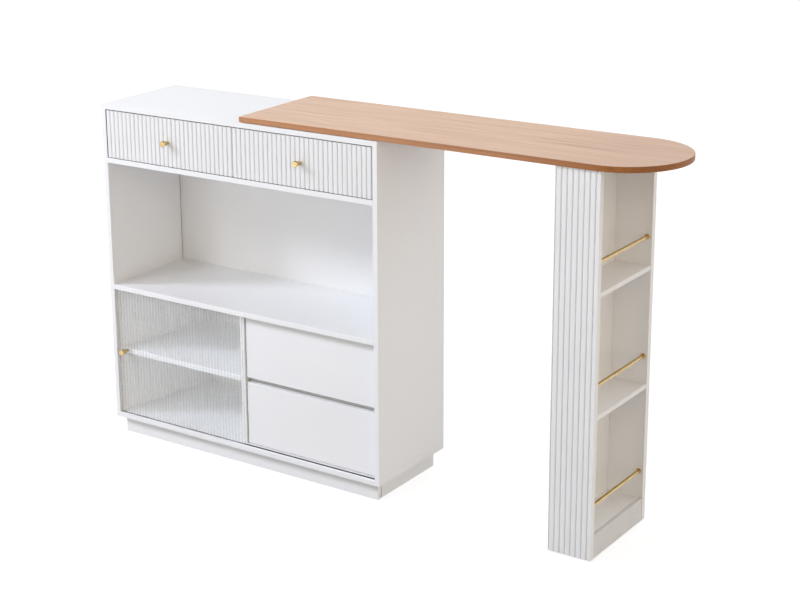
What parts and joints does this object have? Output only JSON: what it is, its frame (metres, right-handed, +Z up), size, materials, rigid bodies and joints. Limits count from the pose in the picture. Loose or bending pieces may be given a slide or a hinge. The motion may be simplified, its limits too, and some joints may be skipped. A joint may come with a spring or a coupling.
{
  "type": "rotating kitchen island",
  "caption": "White kitchen cabinet with drawers, niche and sliding reeded-glass door, and an oak table that swivels on it and rolls on a fluted column.",
  "frame": {"origin": "middle of the object's bounding box, on the floor", "axes": "+X along the table from the cabinet, -Y is the front with the drawers and the door, +Z up"},
  "size_m": [1.7159, 0.3524, 1.017],
  "materials": {
    "white_board": "satin white lacquer on board",
    "oak": "oak veneer, matt lacquer",
    "brass": "satin gold",
    "steel": "zinc plated",
    "track": "satin brown plastic",
    "glass": "reeded",
    "nylon": "matt, milky",
    "wheel": "matt"
  },
  "bodies": {
    "cabinet": {"top_board": "white_board", "bottom_board": "white_board", "left_side": "white_board", "right_side": "white_board", "drawer_deck": "white_board", "middle_board": "white_board", "top_divider": "white_board", "lower_divider": "white_board", "inner_shelf": "white_board", "back_panel": "white_board", "plinth_front": "white_board", "plinth_back": "white_board", "plinth_ends": "white_board", "lower_track": "track", "upper_track": "track", "shelf_supports": "steel", "cabinet_runners": "steel", "swivel_plate": "steel", "swivel_bush": "nylon"},
    "left_drawer": {"left_front": "white_board", "left_box_sides": "white_board", "left_box_back": "white_board", "left_box_bottom": "white_board", "left_runners": "steel", "left_knob": "brass"},
    "right_drawer": {"right_front": "white_board", "right_box_sides": "white_board", "right_box_back": "white_board", "right_box_bottom": "white_board", "right_runners": "steel", "right_knob": "brass"},
    "middle_drawer": {"middle_front": "white_board", "middle_box_sides": "white_board", "middle_box_back": "white_board", "middle_box_bottom": "white_board", "middle_runners": "steel"},
    "bottom_drawer": {"bottom_front": "white_board", "bottom_box_sides": "white_board", "bottom_box_back": "white_board", "bottom_box_bottom": "white_board", "bottom_runners": "steel"},
    "glass_door": {"door_glass": "glass", "door_knob": "brass"},
    "table": {"table_top": "oak", "swivel_flange": "steel", "swivel_nut": "steel", "glide_pads": "nylon", "near_panel": "white_board", "far_panel": "white_board", "column_back": "white_board", "column_shelves": "white_board", "column_floor": "white_board", "kick_board": "white_board", "column_brackets": "steel", "guard_rails": "brass", "rail_sockets": "brass", "caster_forks": "steel", "caster_axles": "steel"},
    "near_caster_wheel": {"near_wheel": "wheel"},
    "far_caster_wheel": {"far_wheel": "wheel"}
  },
  "joints": [
    {"name": "table_swing", "type": "hinge", "parent": "cabinet", "child": "table", "pos_m": [-0.078, 0.01075, 1], "axis": [0, 0, 1], "range_deg": [-90, 90]},
    {"name": "left_drawer_slide", "type": "slide", "parent": "cabinet", "child": "left_drawer", "axis": [0, -1, 0], "range_m": [0, 0.2]},
    {"name": "right_drawer_slide", "type": "slide", "parent": "cabinet", "child": "right_drawer", "axis": [0, -1, 0], "range_m": [0, 0.2]},
    {"name": "middle_drawer_slide", "type": "slide", "parent": "cabinet", "child": "middle_drawer", "axis": [0, -1, 0], "range_m": [0, 0.2]},
    {"name": "bottom_drawer_slide", "type": "slide", "parent": "cabinet", "child": "bottom_drawer", "axis": [0, -1, 0], "range_m": [0, 0.2]},
    {"name": "glass_door_slide", "type": "slide", "parent": "cabinet", "child": "glass_door", "axis": [-1, 0, 0], "range_m": [-0.448, 0]},
    {"name": "near_wheel_spin", "type": "hinge", "parent": "table", "child": "near_caster_wheel", "pos_m": [0.654, -0.08225, 0.019], "axis": [0.992, -0.126, 0], "continuous": true},
    {"name": "far_wheel_spin", "type": "hinge", "parent": "table", "child": "far_caster_wheel", "pos_m": [0.654, 0.09475, 0.019], "axis": [0.9935, 0.114, 0], "continuous": true}
  ]
}
